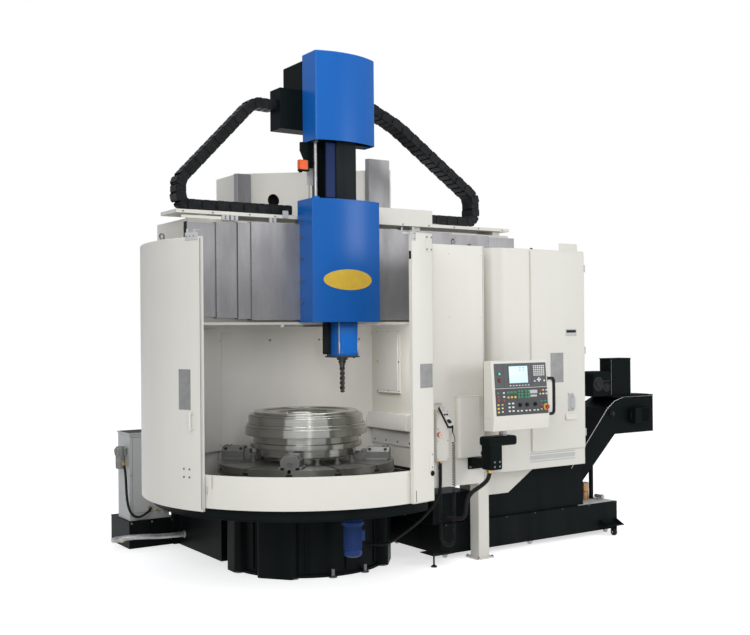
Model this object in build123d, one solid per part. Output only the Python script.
from build123d import *
import math
import os

# CNC vertical lathe with a turning table, a crossrail and a vertical ram.
# Millimetres. X runs along the crossrail, Y to the back, Z up.
# The origin is the table's centre line at floor level.

NONE3 = (Align.NONE, Align.NONE, Align.NONE)
gap = 0.3                      # running gap between slides and their ways
fit = 0.05                     # radial clearance of a shaft in its bore

# Table and workpiece
table_r = 1000.0
table_top = 1150.0
table_thick = 125.0
slot_w = 36.0
slot_deep = 40.0
slot_in = 180.0
slot_count = 12
neck_r = 620.0
work_seat = 70.0               # height of the jaw rests under the work
work_hole_r = 310.0
work_steps = ((565.0, 90.0), (632.0, 60.0), (600.0, 80.0), (690.0, 90.0), (672.0, 35.0), (652.0, 85.0),
              (635.0, 22.0), (590.0, 28.0))
jaw_count = 4
jaw_first = -40.0
jaw_w = 210.0
jaw_h = 150.0
jaw_chamfer = 30.0
jaw_out = 960.0
jaw_in = 705.0
jaw_rest_in = 510.0
jaw_rest_w = 120.0

# Base and bed
core_r = 850.0
core_top = 880.0
lobe_r = 945.0
lobe_in = 500.0
lobe_round = 60.0
lobes = ((-50.5, 440.0), (-90.5, 270.0), (50.5, 440.0), (90.5, 270.0))
bed_x0 = -830.0
bed_x1 = 1950.0
bed_y0 = 500.0
bed_y1 = 1720.0
bed_top = 741.0

# Round guards
trough_w = 700.0               # from the table's edge to the chip trough's edge
ring_r = table_r + trough_w
ring_side_r = 1440.0           # the trough's radius beyond the apron, under the flat panel
ring_z0 = bed_top
ring_depth = 120.0
ring_z1 = ring_z0 + ring_depth
ring_side_clear = 100.0        # how far the side cut runs past the trough's rim
ring_lip_h = 30.0
apron_r = ring_r + 80.0
apron_t = 20.0
apron_z0 = ring_z1
apron_z1 = 1188.0
apron_az0 = -138.0
apron_az1 = 18.0
door_t = 18.0
door_r = apron_r + 32.0 + door_t
door_z0 = 830.0
door_z1 = 3556.0
door_az0 = -138.0
door_az1 = -63.5
runner_h = 30.0
runner_low = apron_z0 + 20.0
guard_az1 = -66.0
guard_top = 3480.0
runner_high = guard_top - 60.0
handle_az = -67.2
handle_half = 0.7              # half the grip's width, in degrees
handle_z0 = 1624.0
handle_z1 = 1823.0
handle_out = 62.0
handle_t = 22.0
handle_foot = 24.0
post_az0 = 6.3
post_az1 = 16.0
post_z1 = 3600.0
post_in = apron_r + 5.0
wing_drop = 40.0

# Flat guards
panel_y = -1200.0
panel_t = 40.0
panel_x0 = 890.0
panel_z0 = 880.0
panel_z1 = 3551.0
wall_x = 1600.0
panel_x1 = wall_x + panel_t
inner_top = 2640.0
wall_step_y = -450.0
rear_y = table_r + 50.0
rear_t = 50.0
rear_x0 = -550.0
side_az = -117.2
side_in = 29.0                 # from the round guard to the rear guard's edge

# Column and crossrail
col_x0 = -321.0
col_x1 = 1950.0
col_y0 = rear_y + rear_t
col_y1 = 1660.0
col_top_left = 4520.0
col_top_right = 4750.0
col_hole = (190.0, 4230.0)
col_hole_r = 80.0
col_hole_deep = 120.0
col_cover_t = 60.0
col_cover_left = (-350.0, -130.0)
col_cover_right = (1547.0, 1912.0)
col_cover_right_top = 4860.0
rail_clear = 34.0              # from the crossrail's back corner to the round guard
rail_x0 = -math.sqrt((apron_r - apron_t - rail_clear) ** 2 - col_y0 ** 2)
rail_x1 = 3230.0
rail_y0 = 220.0
rail_z0 = 2680.0
rail_z1 = 3850.0
way_h = 80.0
way_t = 30.0
way_z = (2900.0, 3600.0)
tray_z = 3900.0
tray_y0 = 180.0
tray_y1 = 620.0
tray_t = 40.0
tray_over = 150.0              # how far the tray stands out past the crossrail's left end
tray_x1 = 3220.0
tray_foot_w = 120.0
tray_foot_in = 40.0
tray_feet = (130.0, 1530.0, 3030.0, 4330.0)
stop_x = (1000.0, 1953.0)      # the block on the tray that holds the right chain's end
stop_y1 = 420.0
stop_h = 168.0

# Telescopic way covers
leaf_front = 100.0
leaf_step = 12.0
leaf_t = 6.0
leaf_z0 = 2735.0
leaf_z1 = 3835.0
leaf_back = 210.0
wiper_w = 24.0
cover_over = 54.0              # how far the end cover stands out past the crossrail
cover_end_right = 3253.0
end_strut_w = 60.0
end_strut_gap = 20.0

# Saddle
sad_x0 = -5.0
sad_x1 = 905.0
sad_bow = (400.0, -262.0)      # the foremost point of the bowed front
sad_side_y = -190.0            # where the bowed front meets the flat sides
sad_back = 150.0
sad_z0 = 2707.0
sad_z1 = 4110.0
plate_x0 = 60.0
plate_x1 = 800.0
plate_z0 = 2760.0
plate_z1 = 3800.0

# Each leaf's left and right end, from the saddle outwards; none means the saddle's side
left_leaves = ((-623.0, sad_x0), (-786.0, -240.0), (-1040.0, -374.0), (rail_x0 - cover_over, -614.0))
right_leaves = ((sad_x1, 2202.0), (1850.0, 2808.0), (2440.0, cover_end_right))

# Ram
ram_x = 493.0
ram_w = 270.0
ram_z0 = 2315.0
ram_z1 = 5000.0
ram_chamfer = 12.0
ram_up = 300.0
ram_down = 150.0
slide_clear = 8.0              # between what the ram carries and the saddle's cover
nose_t = 8.0
nose_w = 226.0
nose_h = 330.0
nose_lift = 20.0
head_x0 = 40.0
head_x1 = 890.0
head_bow = (370.0, -268.0)
head_left_y = -205.0
head_right_y = -125.0
head_back = 100.0
head_z0 = 4770.0
head_z1 = 5785.0
strip_x0 = 232.0
strip_t = 24.0
strip_y = -110.0
strip_z0 = 4140.0
rod_x = 130.0
rod_y = -40.0
rod_r = 22.0
rod_z0 = 3780.0
gland_r = 46.0
gland_h = 40.0
motor_x1 = 600.0
motor_y1 = 545.0
motor_z0 = 5382.0
motor_z1 = 5718.0
junction_x = (-245.0, 300.0)
junction_y1 = 343.0
junction_z0 = 4917.0
bracket_y = (20.0, 60.0)
bracket_z = (4485.0, 4570.0, 4675.0)
bracket_x = (-21.0, 30.0, 60.0, 190.0)
switch_x = (-71.0, 56.0)
switch_z = (4430.0, 4557.0)
switch_y0 = -30.0
trip_x = (88.0, 223.0)
trip_y = (75.0, 87.0)
trip_z = (4290.0, 4490.0)
trip_strut_x = (108.0, 122.0)

# Tool
holder_r = 60.0
holder_h = 75.0
collet_h = 60.0
collet_r = (38.0, 52.0)
drill_r = 32.0
drill_tip = 1887.0
drill_point = 30.0
drill_flat = 2.0
spigot_r = 40.0
spigot_h = 60.0

# Magazine cabinet
cab_x0 = 1840.0
cab_x1 = 3300.0
cab_y0 = -1100.0
cab_y1 = -400.0
cab_z0 = 956.0
cab_z1 = 3555.0
cab_corner = 200.0
cab_door_x0 = 2425.0
cab_door_x1 = 3290.0
cab_door_z0 = 1160.0
cab_door_t = 25.0
cab_door_drop = 15.0
cab_door_round = 10.0
link_y = (-700.0, -510.0)
link_drop = 40.0

# Coolant tank and chip conveyor
tank_x0 = 1230.0
tank_x1 = 4050.0
tank_y0 = -905.0
tank_y1 = 250.0
tank_z0 = 60.0
tank_h = 400.0
foot_in_x = 120.0
foot_in_y = 90.0
wheel_r = 28.0
wheel_w = 26.0
fork_z0 = 34.0
fork = (68.0, 48.0)
trough_x0 = 1700.0
trough_x1 = 3360.0
trough_y0 = -860.0
trough_y1 = -330.0
trough_z1 = 670.0
slope_low = (3497.0, 701.0)    # where the slope's underside leaves the housing
slope_high = (3944.0, 1587.0)
slope_start = (3120.0, 650.0)
slope_round_x = 4239.0
outlet_x = (4073.0, 4790.0)
outlet_z = (1250.0, 1720.0)
leg_x = (3880.0, 3920.0)
leg_y = (-620.0, -580.0)
leg_top = 1120.0
outlet_box_w = 360.0
outlet_box_x0 = 4080.0
outlet_box_x = (outlet_box_x0, outlet_box_x0 + outlet_box_w)
outlet_box_top = 2214.0
outlet_box_y = (-800.0, -600.0)
screen_w = 326.0
screen_x0 = outlet_box_x0 - screen_w
screen_z = (1740.0, 2060.0)
screen_round = 70.0
gear_x = (4340.0, 4640.0)
gear_z = (1380.0, 1580.0)
gear_out = 110.0
chute_x = (1880.0, 2250.0, 2700.0)
chute_y = (-880.0, -420.0)

# Pendant and its arm
pend_x0 = 1380.0
pend_x1 = 2190.0
pend_y0 = -1670.0
pend_y1 = -1400.0
pend_z0 = 1500.0
pend_z1 = 2262.0
pend_tilt = 50.0
pend_lip = 130.0
pend_under = 20.0
swivel_x = 1627.0
swivel_y = -1530.0
swivel_r = 38.0
swivel_floor = 20.0            # what is left of the arm under the swivel's bore
grip_y0 = 45.0                 # the side grip's near face, from the pendant's front
grip_t = 30.0
grip_out = 60.0
grip_z = (1640.0, 2060.0)
arm_x0 = 1240.0
arm_x1 = 1760.0
arm_y0 = -1620.0
arm_y1 = -1440.0
arm_z0 = 1335.0
arm_z1 = 1440.0
arm_post_x = (1310.0, 1550.0)
arm_foot_z = 1075.0
arm_bracket_x = (1330.0, 1480.0)
arm_bracket_z = (1085.0, 1190.0)

# Covers and hand control on the flat panel
curved_x = (1210.0, 1540.0)
curved_z = (1200.0, 1860.0)
curved_t = 70.0
curved_round = 40.0
control_x = (895.0, 1060.0)
control_z0 = 1180.0
control_z1 = 1740.0
control_t = 85.0
button_x = 927.0
button_z = 1470.0
button_r = 26.0
button_out = 40.0
rest_w = 44.0
rest_drop = 60.0
hand_x = 940.0
hand_w = 76.0
hand_t = 38.0
hand_round = 14.0
hand_top = (-1290.0, 1757.0)
hand_low = (-1465.0, 1550.0)
relief_r = 10.0
relief_y = -1490.0
relief_z = (1505.0, 1575.0)

# Cable chains
chain_t = 120.0
chain_y0 = 180.0
chain_left_w = 210.0
chain_right_w = 240.0
chain_low = tray_z + tray_t + chain_t / 2
chain_left_top = 5200.0
chain_left_slope = (-516.0, 4262.0)
chain_left_x = -1409.0
chain_left_end = -60.0
chain_right_top = 5460.0
chain_right_slope = (729.0, 4336.0)
chain_right_crown = (1480.0, 5140.0)
chain_right_x = 2665.0
chain_bends = [180.0, 150.0, 100.0]
chain_right_bends = [180.0, 1500.0, 150.0, 100.0]

# Hoses and cords
curl_d = 34.0
curl_x = 955.0
curl_front_y = -1504.0
curl_back_y = -1262.0
curl_low = 290.0
conduit_d = 36.0
cable_d = 50.0
return_d = 62.0
filter_d = 30.0
conduit_pts = [(990, -1224, 1180), (990, -1224, 1020), (984, -1226, 860), (935, -1196, 700),
               (780, -1130, 530), (590, -1040, 380), (470, -960, 290), (410, -879.2, 270),
               (359.3, -770.5, 270)]
cable_pts = [(1430, -1530, 1075), (1430, -1530, 985), (1330, -1500, 900), (1225, -1440, 830),
             (1215, -1380, 700), (1290, -1280, 560), (1330, -1130, 480), (1330, -905, 470)]
return_pts = [(-1450, 1860, 110), (-1560, 1860, 110), (-1655, 1790, 125), (-1620, 1650, 165),
              (-1400, 1560, 180), (-1100, 1540, 150), (-830, 1540, 150)]
filter_pts = [(-1500, 1822, 1040), (-1500, 1760, 990), (-1498, 1735, 850), (-1490, 1730, 600),
              (-1450, 1722, 430), (-1350, 1712, 370), (-1230, 1712, 430), (-1180, 1740, 470),
              (-1180, 1790, 470)]

# Support post
sup_x0 = 1610.0
sup_x1 = 1760.0
sup_y0 = -1110.0
sup_y1 = -960.0
sup_foot = 40.0
sup_foot_t = 20.0

# Hydraulic unit
hyd_x0 = -1450.0
hyd_x1 = -870.0
hyd_y0 = 1760.0
hyd_y1 = 2400.0
hyd_h = 330.0
chill_x0 = -1430.0
chill_x1 = -930.0
chill_y0 = 1790.0
chill_y1 = 2190.0
chill_top = 1375.0
lid_over = 10.0
lid_t = 18.0
filter_out = 75.0
filter_in = 110.0
bowl_r = 58.0
filter_z = (960.0, 1150.0, 1230.0)

# Spindle gear motor
gear_az = -8.2
gear_r = 1290.0
gear_flange = 160.0
gear_flange_y = 150.0
gear_levels = (290.0, 620.0, 700.0)
gear_body_r = 95.0
gear_neck_r = 120.0


def box(x0, x1, y0, y1, z0, z1):
    """A block between two corners."""
    return Pos(x0, y0, z0) * Box(x1 - x0, y1 - y0, z1 - z0, align=(Align.MIN, Align.MIN, Align.MIN))


def post(r, z0, z1, x=0.0, y=0.0):
    """An upright cylinder."""
    return Pos(x, y, z0) * Cylinder(r, z1 - z0, align=(Align.CENTER, Align.CENTER, Align.MIN))


def arc_wall(r_out, r_in, az0, az1, z0, z1):
    """A curved upright wall about the table's centre line, azimuth 0 at the front."""
    turn = Pos(0, 0, z0) * Rot(0, 0, az0 - 90)
    outer = Cylinder(r_out, z1 - z0, arc_size=az1 - az0, align=NONE3)
    inner = Cylinder(r_in, z1 - z0, arc_size=az1 - az0, align=NONE3)
    return turn * (outer - inner)


def at_az(az, r, z):
    """A point at an azimuth from the front, at a radius."""
    return (r * math.sin(math.radians(az)), -r * math.cos(math.radians(az)), z)


def save(node, shape):
    """Write one sub-part."""
    export_step(shape, os.path.join("parts", node + ".step"))


def make_table():
    disc = post(table_r, table_top - table_thick, table_top)
    for i in range(slot_count):
        slot = box(slot_in, table_r + 5, -slot_w / 2, slot_w / 2, table_top - slot_deep, table_top + 5)
        disc -= Rot(0, 0, jaw_first + 360.0 / slot_count * i) * slot
    neck = post(neck_r, core_top + gap, table_top - table_thick)
    return disc + neck


def make_jaws():
    jaws = []
    for i in range(jaw_count):
        body = box(jaw_in, jaw_out, -jaw_w / 2, jaw_w / 2, table_top, table_top + jaw_h)
        body = chamfer(body.edges().filter_by(Axis.X).group_by(Axis.Z)[-1], jaw_chamfer)
        rest = box(jaw_rest_in, jaw_in, -jaw_rest_w / 2, jaw_rest_w / 2, table_top, table_top + work_seat)
        turn = Rot(0, 0, jaw_first - 90 + 360.0 / jaw_count * i)
        jaws.append(turn * (body + rest))
    return Compound(children=jaws)


def make_work():
    z = table_top + work_seat
    ring = None
    for r, h in work_steps:
        step = post(r, z, z + h)
        ring = step if ring is None else ring + step
        z += h
    return ring - post(work_hole_r, table_top, z + 1)


def make_base():
    core = post(core_r, 0, core_top)
    for az, width in lobes:
        lobe = box(lobe_in, lobe_r, -width / 2, width / 2, 0, ring_z0)
        lobe = fillet(lobe.edges().filter_by(Axis.Z).group_by(Axis.X)[-1], lobe_round)
        core += Rot(0, 0, az - 90) * lobe
    bed = box(bed_x0, bed_x1, bed_y0, bed_y1, 0, bed_top)
    return core + bed


def make_ring():
    disc = post(ring_r, ring_z0, ring_z1) - post(core_r, ring_z0 - 1, ring_z1 + 1)
    disc &= box(-ring_r, wall_x, -ring_r, rear_y, ring_z0, ring_z1)
    disc -= arc_wall(ring_r + ring_side_clear, ring_side_r, apron_az1, 80, ring_z0 - 1, ring_z1 + 1)
    return disc + arc_wall(apron_r - apron_t, ring_r - ring_lip_h, apron_az0 + 10, apron_az1, ring_z1,
                           ring_z1 + ring_lip_h)


def make_apron():
    return arc_wall(apron_r, apron_r - apron_t, apron_az0, apron_az1, apron_z0, apron_z1)


def make_left_guard():
    return arc_wall(apron_r, apron_r - apron_t, apron_az0, guard_az1, apron_z1, guard_top)


def make_left_door():
    shell = arc_wall(door_r, door_r - door_t, door_az0, door_az1, door_z0, door_z1)
    run_r = apron_r + gap
    low = arc_wall(door_r - door_t, run_r, door_az0, door_az1, runner_low, runner_low + runner_h)
    high = arc_wall(door_r - door_t, run_r, door_az0, door_az1 - 4, runner_high, runner_high + runner_h)
    return shell + low + high


def make_door_handle():
    a = handle_az - handle_half
    b = handle_az + handle_half
    out = door_r + handle_out
    grip = arc_wall(out, out - handle_t, a, b, handle_z0, handle_z1)
    for z in (handle_z0, handle_z1 - handle_foot):
        grip += arc_wall(out, door_r, a, b, z, z + handle_foot)
    return grip


def make_right_post():
    body = arc_wall(door_r, post_in, post_az0, post_az1, apron_z1, post_z1)
    skirt = arc_wall(door_r, apron_r, post_az0, post_az1, apron_z0, apron_z1)
    p = at_az(post_az1, door_r, 0)
    q = at_az(post_az1, post_in, 0)
    side = Polyline([p, (panel_x0, panel_y), (panel_x0, panel_y + panel_t), q, p])
    wing = extrude(make_face(side), amount=post_z1 - apron_z1 - wing_drop)
    return body + skirt + Pos(0, 0, apron_z1) * wing


def make_right_guard():
    front = box(panel_x0, panel_x1, panel_y, panel_y + panel_t, panel_z0, panel_z1)
    high = box(wall_x, panel_x1, panel_y + panel_t, wall_step_y, panel_z0, panel_z1)
    low = box(wall_x, panel_x1, wall_step_y, rear_y, panel_z0, inner_top)
    return front + high + low


def make_rear_guard():
    back = box(rear_x0, wall_x, rear_y, rear_y + rear_t, ring_z0, inner_top)
    side_x, side_y, _ = at_az(side_az, apron_r - apron_t - side_in, 0)
    line = Polyline([(rear_x0, rear_y), (rear_x0, rear_y + rear_t), (side_x + rear_t / 3, side_y + rear_t),
                     (side_x, side_y), (rear_x0, rear_y)])
    side = extrude(make_face(line), amount=inner_top - apron_z1)
    return back + Pos(0, 0, apron_z1) * side


def make_curved_cover():
    body = box(*curved_x, panel_y - curved_t, panel_y, *curved_z)
    return fillet(body.edges().filter_by(Axis.Z).group_by(Axis.Y)[0], curved_round)


def make_control_box():
    x0, x1 = control_x
    y = panel_y - control_t
    body = box(x0, x1, y, panel_y, control_z0, control_z1)
    button = Cylinder(button_r, button_out, align=(Align.CENTER, Align.CENTER, Align.MIN))
    body += Pos(button_x, y, button_z) * Rot(90, 0, 0) * button
    (ya, za), (yb, zb) = hand_top, hand_low
    share = rest_drop / (za - zb)
    under = (ya + (yb - ya) * share, zb + (za - zb) * (1 - share))
    line = Polyline([(y, za), (ya, za), under, (y, under[1]), (y, za)])
    wedge = Plane.YZ * make_face(line)
    return body + Pos(hand_x - rest_w / 2, 0, 0) * extrude(wedge, amount=rest_w)


def make_column():
    line = Polyline([(col_x0, bed_top), (col_x1, bed_top), (col_x1, col_top_right), (col_x0, col_top_left),
                     (col_x0, bed_top)])
    body = Pos(0, col_y1, 0) * extrude(Plane.XZ * make_face(line), amount=col_y1 - col_y0)
    x, z = col_hole
    hole = Cylinder(col_hole_r, col_hole_deep, align=(Align.CENTER, Align.CENTER, Align.MIN))
    return body - Pos(x, col_y0, z) * Rot(-90, 0, 0) * hole


def make_column_covers():
    left = box(*col_cover_left, col_y0 - col_cover_t, col_y0, rail_z1, col_top_left)
    right = box(*col_cover_right, col_y0 - col_cover_t, col_y0, rail_z1, col_cover_right_top)
    return Compound(children=[left, right])


def make_crossrail():
    beam = box(rail_x0, rail_x1, rail_y0, col_y0, rail_z0, rail_z1)
    for z in way_z:
        beam += box(rail_x0, rail_x1, rail_y0 - way_t, rail_y0, z, z + way_h)
    return beam


def make_tray():
    plate = box(rail_x0 - tray_over, tray_x1, tray_y0, tray_y1, tray_z, tray_z + tray_t)
    for step in tray_feet:
        x = rail_x0 + step
        plate += box(x, x + tray_foot_w, rail_y0 + tray_foot_in, tray_y1 - tray_foot_in, rail_z1, tray_z)
    return plate + box(*stop_x, tray_y0, stop_y1, tray_z + tray_t, tray_z + stop_h + tray_t)


def leaf(x0, x1, stage, wiper_x):
    """One channel-shaped way cover, its wiper at the end away from the saddle."""
    d = leaf_step * stage
    y = leaf_front + d
    z0 = leaf_z0 + d
    z1 = leaf_z1 - d
    body = box(x0, x1, y, y + leaf_t, z0, z1)
    body += box(x0, x1, y, leaf_back, z1 - leaf_t, z1)
    body += box(x0, x1, y, leaf_back, z0, z0 + leaf_t)
    if wiper_x is not None:
        a = wiper_x
        b = wiper_x + wiper_w
        lip = leaf_step - leaf_t - gap
        body += box(a, b, y + leaf_t, y + leaf_t + lip, z0 + leaf_t, z1 - leaf_t)
        body += box(a, b, y + leaf_t, leaf_back, z1 - leaf_t - lip, z1 - leaf_t)
    return body


def end_strut(x0, x1, seat0, seat1):
    """What carries an end cover on the crossrail, between its two ways."""
    z0 = way_z[0] + way_h + end_strut_gap
    z1 = way_z[1] - end_strut_gap
    back = leaf_back - end_strut_w
    return box(x0, x1, leaf_front + leaf_step * 2, back, z0, z1) + box(seat0, seat1, back, rail_y0, z0, z1)


def make_left_leaf(stage):
    x0, x1 = left_leaves[stage]
    if stage < len(left_leaves) - 1:
        return leaf(x0, x1, stage, x0)
    seat1 = rail_x0 + end_strut_w
    inside = box(x0, x1, leaf_front + leaf_step * stage, rail_y0, leaf_z0, leaf_z1)
    return leaf(x0, x1, stage, None) + (end_strut(x0, seat1, rail_x0, seat1) & inside)


def make_right_leaf(stage):
    x0, x1 = right_leaves[stage]
    if stage < len(right_leaves) - 1:
        return leaf(x0, x1, stage, x1 - wiper_w)
    seat0 = rail_x1 - end_strut_w
    return leaf(x0, x1, stage, None) + end_strut(seat0, x1, seat0, rail_x1)


def bowed(x0, x1, left_y, right_y, bow, back, z0, z1):
    """A closed cover whose front bows forward between its two flat sides."""
    front = ThreePointArc((x0, left_y), bow, (x1, right_y))
    rest = Polyline([(x1, right_y), (x1, back), (x0, back), (x0, left_y)])
    return Pos(0, 0, z0) * extrude(make_face([front, rest]), amount=z1 - z0)


def make_saddle_cover():
    body = bowed(sad_x0, sad_x1, sad_side_y, sad_side_y, sad_bow, sad_back, sad_z0, sad_z1)
    half = ram_w / 2 + gap
    body -= box(ram_x - half, ram_x + half, -half, half, sad_z0 - 1, sad_z1 + 1)
    pocket = nose_w / 2 + slide_clear
    nose_top = ram_z0 + nose_lift + nose_h + ram_up
    body -= box(ram_x - pocket, ram_x + pocket, -half - nose_t - slide_clear, -half, sad_z0 - 1,
                nose_top + slide_clear)
    body -= box(strip_x0 - slide_clear, ram_x - half, strip_y - slide_clear, strip_y + strip_t + slide_clear,
                strip_z0 - ram_down - slide_clear, sad_z1 + 1)
    body += post(gland_r, sad_z1, sad_z1 + gland_h, rod_x, rod_y)
    return body - post(rod_r + fit, rod_z0 - ram_down - slide_clear, sad_z1 + gland_h + 1, rod_x, rod_y)


def make_saddle_plate():
    return box(plate_x0, plate_x1, sad_back, rail_y0 - way_t - gap, plate_z0, plate_z1)


def make_handset():
    """A hand control that leans out from its rest, thick across the slope."""
    (ya, za), (yb, zb) = hand_top, hand_low
    lean = math.degrees(math.atan2(ya - yb, za - zb))
    long = math.hypot(ya - yb, za - zb)
    slab = Box(hand_w, hand_t, long, align=(Align.CENTER, Align.MAX, Align.MAX))
    slab = fillet(slab.edges().filter_by(Axis.Y), hand_round)
    relief = post(relief_r, *relief_z, curl_x, relief_y)
    return Pos(hand_x, ya, za) * Rot(-lean, 0, 0) * slab + relief


def make_ram():
    h = ram_w / 2
    body = box(ram_x - h, ram_x + h, -h, h, ram_z0, ram_z1)
    body = chamfer(body.edges().filter_by(Axis.Z), ram_chamfer)
    return body - post(spigot_r + fit, ram_z0 - 1, ram_z0 + spigot_h + 5, ram_x, 0)


def make_ram_nose():
    y = -ram_w / 2
    z = ram_z0 + nose_lift
    return box(ram_x - nose_w / 2, ram_x + nose_w / 2, y - nose_t, y, z, z + nose_h)


def make_side_strip():
    return box(strip_x0, ram_x - ram_w / 2, strip_y, strip_y + strip_t, strip_z0, head_z0)


def make_balance_rod():
    return post(rod_r, rod_z0, head_z0, rod_x, rod_y)


def make_head_cover():
    body = bowed(head_x0, head_x1, head_left_y, head_right_y, head_bow, head_back, head_z0, head_z1)
    h = ram_w / 2
    return body - box(ram_x - h, ram_x + h, -h, head_back + 1, head_z0 - 1, ram_z1)


def make_motor_housing():
    return box(head_x0, motor_x1, head_back, motor_y1, motor_z0, motor_z1)


def make_junction():
    return box(*junction_x, head_back, junction_y1, junction_z0, motor_z0)


def make_switch_bracket():
    """The plate that hangs under the head with the travel switch at its foot."""
    z0, z1, z2 = bracket_z
    xa, xb, xc, xd = bracket_x
    y0, y1 = bracket_y
    line = Polyline([(xa, head_z0), (xa, z2), (xb, z1), (xc, z0), (xd, z0), (xd, head_z0), (xa, head_z0)])
    plate = Pos(0, y1, 0) * extrude(Plane.XZ * make_face(line), amount=y1 - y0)
    return plate + box(*switch_x, switch_y0, y0, *switch_z)


def make_trip_plate():
    return box(*trip_x, *trip_y, *trip_z) + box(*trip_strut_x, *trip_y, sad_z1, trip_z[0])


def make_holder():
    body = post(holder_r, ram_z0 - holder_h, ram_z0 - gap, ram_x, 0)
    body += post(spigot_r, ram_z0 - gap, ram_z0 + spigot_h, ram_x, 0)
    cone = Cone(*collet_r, collet_h, align=(Align.CENTER, Align.CENTER, Align.MIN))
    return body + Pos(ram_x, 0, ram_z0 - holder_h - collet_h) * cone


def make_drill():
    top = ram_z0 - holder_h - collet_h
    body = post(drill_r, drill_tip + drill_point, top, ram_x, 0)
    tip = Cone(drill_flat, drill_r, drill_point, align=(Align.CENTER, Align.CENTER, Align.MIN))
    return body + Pos(ram_x, 0, drill_tip) * tip


def make_cabinet():
    body = box(cab_x0, cab_x1, cab_y0, cab_y1, cab_z0, cab_z1)
    edge = body.edges().filter_by(Axis.Z).group_by(Axis.X)[0].sort_by(Axis.Y)[0]
    return fillet(edge, cab_corner)


def make_cabinet_link():
    return box(panel_x1, cab_x0, *link_y, cab_z0, cab_z1 - link_drop)


def make_cabinet_door():
    top = cab_z1 - cab_door_drop
    body = box(cab_door_x0, cab_door_x1, cab_y0 - cab_door_t, cab_y0, cab_door_z0, top)
    return fillet(body.edges().filter_by(Axis.Z).group_by(Axis.Y)[0], cab_door_round)


def make_chute():
    xa, xb, xc = chute_x
    y0, y1 = chute_y
    line = Polyline([(xa, trough_z1), (xb, trough_z1), (xc, cab_z0), (xa, cab_z0), (xa, trough_z1)])
    return Pos(0, y1, 0) * extrude(Plane.XZ * make_face(line), amount=y1 - y0)


def make_tank():
    return box(tank_x0, tank_x1, tank_y0, tank_y1, tank_z0, tank_h)


def make_casters():
    feet = []
    w, d = fork
    for x in (tank_x0 + foot_in_x, (tank_x0 + tank_x1) / 2, tank_x1 - foot_in_x):
        for y in (tank_y0 + foot_in_y, tank_y1 - foot_in_y):
            wheel = Pos(x, y, wheel_r) * Rot(90, 0, 0) * Cylinder(wheel_r, wheel_w)
            feet.append(wheel + box(x - w / 2, x + w / 2, y - d / 2, y + d / 2, fork_z0, tank_z0))
    return Compound(children=feet)


def make_conveyor():
    trough = box(trough_x0, trough_x1, trough_y0, trough_y1, tank_h, trough_z1)
    xa, za = slope_start
    line = Polyline([(xa, tank_h), (slope_low[0], tank_h), slope_low, (outlet_x[0], outlet_z[0]),
                     (outlet_x[1], outlet_z[0]), (outlet_x[1], outlet_z[1]),
                     (slope_round_x, outlet_z[1]), slope_high, (xa, za), (xa, tank_h)])
    slope = Pos(0, trough_y1, 0) * extrude(Plane.XZ * make_face(line), amount=trough_y1 - trough_y0)
    return trough + slope + box(*leg_x, *leg_y, tank_h, leg_top)


def make_conveyor_drive():
    box_top = box(*outlet_box_x, *outlet_box_y, outlet_z[1], outlet_box_top)
    body = box(screen_x0, outlet_box_x[0], *outlet_box_y, *screen_z)
    body = fillet(body.edges().filter_by(Axis.Y).group_by(Axis.Z)[-1], screen_round)
    drive = box(*gear_x, trough_y0 - gear_out, trough_y0, *gear_z)
    return Compound(children=[box_top + body, drive])


def make_support():
    body = box(sup_x0, sup_x1, sup_y0, sup_y1, sup_foot_t, panel_z0)
    foot = box(sup_x0 - sup_foot, sup_x1 + sup_foot, sup_y0 - sup_foot, sup_y1 + sup_foot, 0, sup_foot_t)
    return body + foot


def make_arm():
    block = box(arm_x0, arm_x1, arm_y0, arm_y1, arm_z0, arm_z1)
    col = box(*arm_post_x, arm_y0, arm_y1, arm_foot_z, arm_z0)
    bracket = box(*arm_bracket_x, arm_y1, panel_y, *arm_bracket_z)
    bore = post(swivel_r + fit, arm_z0 + swivel_floor, arm_z1 + 1, swivel_x, swivel_y)
    return block + col + bracket - bore


def make_pendant():
    line = Polyline([(pend_y1, pend_z0), (pend_y1, pend_z1), (pend_y0 + pend_tilt, pend_z1),
                     (pend_y0, pend_z0 + pend_lip), (pend_y0 + pend_under, pend_z0), (pend_y1, pend_z0)])
    face = Plane.YZ * make_face(line)
    body = Pos(pend_x0, 0, 0) * extrude(face, amount=pend_x1 - pend_x0)
    return body + post(swivel_r, arm_z0 + swivel_floor + 5, pend_z0, swivel_x, swivel_y)


def make_pendant_handle():
    x = pend_x1 + grip_out
    y = pend_y0 + grip_y0
    grip = box(x, x + grip_t, y, y + grip_t, *grip_z)
    for z in (grip_z[0], grip_z[1] - grip_t):
        grip += box(pend_x1, x, y, y + grip_t, z, z + grip_t)
    return grip


def make_hyd_tank():
    return box(hyd_x0, hyd_x1, hyd_y0, hyd_y1, 0, hyd_h)


def make_hyd_cabinet():
    body = box(chill_x0, chill_x1, chill_y0, chill_y1, hyd_h, chill_top)
    lid = box(chill_x0 - lid_over, chill_x1 + lid_over, chill_y0 - lid_over, chill_y1 + lid_over, chill_top,
              chill_top + lid_t)
    return body + lid


def make_filter():
    x = chill_x0 - filter_out
    y = chill_y0 + filter_in
    z0, z1, z2 = filter_z
    return post(bowl_r, z0, z1, x, y) + post(filter_out, z1, z2, x, y)


def make_gearmotor():
    x, y, _ = at_az(gear_az, gear_r, 0)
    z0, z1, z2 = gear_levels
    flange = box(x - gear_flange, x + gear_flange, y - gear_flange_y, y + gear_flange_y, z2, ring_z0)
    return flange + post(gear_body_r, z0, z1, x, y) + post(gear_neck_r, z1, z2, x, y)


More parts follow.
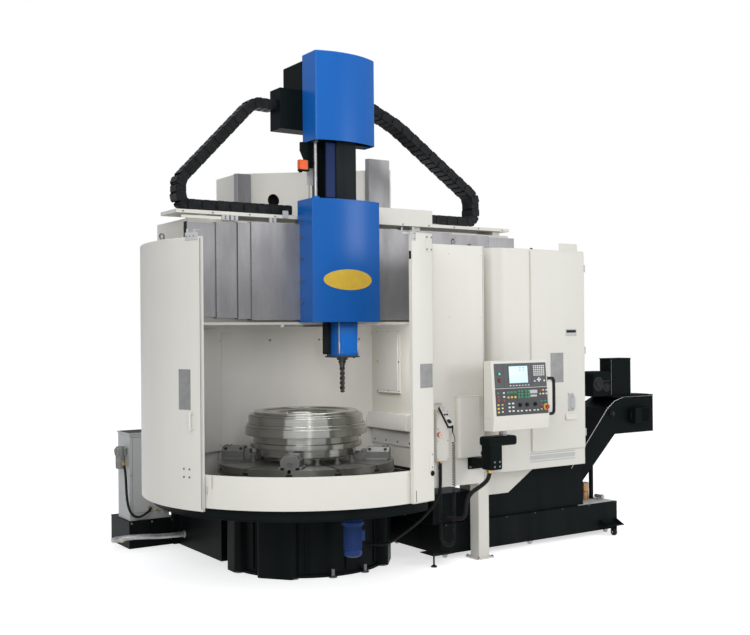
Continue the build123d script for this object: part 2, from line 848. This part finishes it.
def chain(points, radii, width):
    """A cable chain as one bent bar, its front side in line with the tray's front edge."""
    path = FilletPolyline(points, radius=radii)
    section = Plane(origin=path @ 0, z_dir=path % 0, x_dir=(0, 1, 0)) * Rectangle(width, chain_t)
    return sweep(section, path=path)


def make_chain_left():
    y = chain_y0 + chain_left_w / 2
    x, z = chain_left_slope
    pts = [(junction_x[0], y, chain_left_top), (x, y, chain_left_top), (chain_left_x, y, z),
           (chain_left_x, y, chain_low), (chain_left_end, y, chain_low)]
    return chain(pts, chain_bends, chain_left_w)


def make_chain_right():
    y = chain_y0 + chain_right_w / 2
    x, z = chain_right_slope
    crown_x, crown_z = chain_right_crown
    pts = [(motor_x1, y, chain_right_top), (x, y, chain_right_top), (crown_x, y, crown_z), (chain_right_x, y, z),
           (chain_right_x, y, chain_low), (stop_x[1], y, chain_low)]
    return chain(pts, chain_right_bends, chain_right_w)


def bend_radii(points):
    """The radius at each corner of a hose's route, from its two runs and its turn."""
    radii = []
    for a, b, c in zip(points, points[1:], points[2:]):
        u = Vector(*b) - Vector(*a)
        v = Vector(*c) - Vector(*b)
        half = math.radians(u.get_angle(v)) / 2
        radii.append(0.45 * min(u.length, v.length) / math.tan(half))
    return radii


def hose(points, diameter, radii=None):
    """A round hose along straight runs joined by arcs."""
    radii = radii or bend_radii(points)
    path = FilletPolyline(points, radius=radii)
    section = Plane(origin=path @ 0, z_dir=path % 0) * Circle(diameter / 2)
    tube = sweep(section, path=path)
    want = math.pi * diameter ** 2 / 4 * path.length
    print("hose length", round(path.length), "volume share", round(tube.volume / want, 4),
          "radii", [round(r) for r in radii])
    return tube


def make_hand_cord():
    pts = [(curl_x, curl_front_y, relief_z[0]), (curl_x, curl_front_y, curl_low), (curl_x, curl_back_y, curl_low),
           (curl_x, curl_back_y, control_z0)]
    reach = 0.45 * (curl_back_y - curl_front_y)
    return hose(pts, curl_d, [reach, reach])


def build_all():
    os.makedirs("parts", exist_ok=True)
    save("table", make_table())
    save("jaws", make_jaws())
    save("workpiece", make_work())
    save("base_casting", make_base())
    save("chip_ring", make_ring())
    save("apron", make_apron())
    save("left_guard", make_left_guard())
    save("left_door", make_left_door())
    save("door_handle", make_door_handle())
    save("right_post", make_right_post())
    save("right_guard", make_right_guard())
    save("rear_guard", make_rear_guard())
    save("curved_cover", make_curved_cover())
    save("control_box", make_control_box())
    save("column", make_column())
    save("column_covers", make_column_covers())
    save("crossrail", make_crossrail())
    save("cable_tray", make_tray())
    for i in range(len(left_leaves) - 1):
        save(f"way_cover_left_{i + 1}", make_left_leaf(i))
    for i in range(len(right_leaves) - 1):
        save(f"way_cover_right_{i + 1}", make_right_leaf(i))
    ends = [make_left_leaf(len(left_leaves) - 1), make_right_leaf(len(right_leaves) - 1)]
    save("way_cover_ends", Compound(children=ends))
    save("handset", make_handset())
    save("handset_cord", make_hand_cord())
    save("control_conduit", hose(conduit_pts, conduit_d))
    save("pendant_cable", hose(cable_pts, cable_d))
    save("return_hose", hose(return_pts, return_d))
    save("filter_hose", hose(filter_pts, filter_d))
    save("saddle_cover", make_saddle_cover())
    save("saddle_plate", make_saddle_plate())
    save("ram", make_ram())
    save("ram_nose", make_ram_nose())
    save("ram_side_strip", make_side_strip())
    save("balance_rod", make_balance_rod())
    save("ram_head_cover", make_head_cover())
    save("ram_motor_housing", make_motor_housing())
    save("junction_box", make_junction())
    save("switch_bracket", make_switch_bracket())
    save("trip_plate", make_trip_plate())
    save("tool_holder", make_holder())
    save("drill", make_drill())
    save("magazine_cabinet", make_cabinet() + make_cabinet_link())
    save("magazine_door", make_cabinet_door())
    save("chip_chute", make_chute())
    save("coolant_tank", make_tank())
    save("tank_feet", make_casters())
    save("chip_conveyor", make_conveyor())
    save("conveyor_drive", make_conveyor_drive())
    save("support_post", make_support())
    save("pendant_arm", make_arm())
    save("pendant_housing", make_pendant())
    save("pendant_handle", make_pendant_handle())
    save("hydraulic_tank", make_hyd_tank())
    save("hydraulic_cabinet", make_hyd_cabinet())
    save("oil_filter", make_filter())
    save("spindle_gearmotor", make_gearmotor())
    save("cable_chain_left", make_chain_left())
    save("cable_chain_right", make_chain_right())


build_all()
